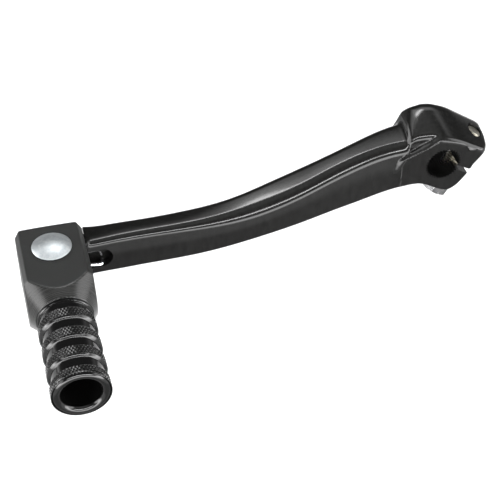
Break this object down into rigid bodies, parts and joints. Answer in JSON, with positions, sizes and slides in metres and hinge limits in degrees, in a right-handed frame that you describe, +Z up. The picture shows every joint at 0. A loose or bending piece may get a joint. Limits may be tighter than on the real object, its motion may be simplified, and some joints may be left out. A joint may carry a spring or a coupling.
{
  "type": "motorcycle gear shift lever",
  "caption": "Black forged gear shift lever with a splined split clamp hub, pinch bolt, and a sprung folding toe peg with knurled rings.",
  "frame": {"origin": "middle of the splined bore, on its axis", "axes": "+X along the lever away from the toe peg, +Y inboard along the bore, +Z up; the toe peg points outboard along -Y"},
  "size_m": [0.1705, 0.0885, 0.0361],
  "materials": {
    "arm_black": "gloss black anodised forging, polished",
    "peg_black": "black anodised, machined from bar",
    "rivet_steel": "satin bright steel",
    "zinc_steel": "bright zinc plated steel",
    "sleeve_steel": "turned steel",
    "spring_steel": "bright drawn spring wire"
  },
  "bodies": {
    "lever": {"lever_arm": "arm_black", "pinch_bolt": "zinc_steel"},
    "toe": {"toe_peg": "peg_black", "pivot_rivet": "rivet_steel", "rivet_washer": "zinc_steel", "pivot_sleeve": "sleeve_steel", "return_spring": "spring_steel"}
  },
  "joints": [
    {"name": "peg_fold", "type": "hinge", "parent": "lever", "child": "toe", "pos_m": [-0.14217, -0.026, -0.00295], "axis": [0, 0, 1], "range_deg": [0, 45], "stiffness_Nm_per_rad": 0.2, "springref_deg": -51.57, "deforming": ["return_spring"]}
  ]
}
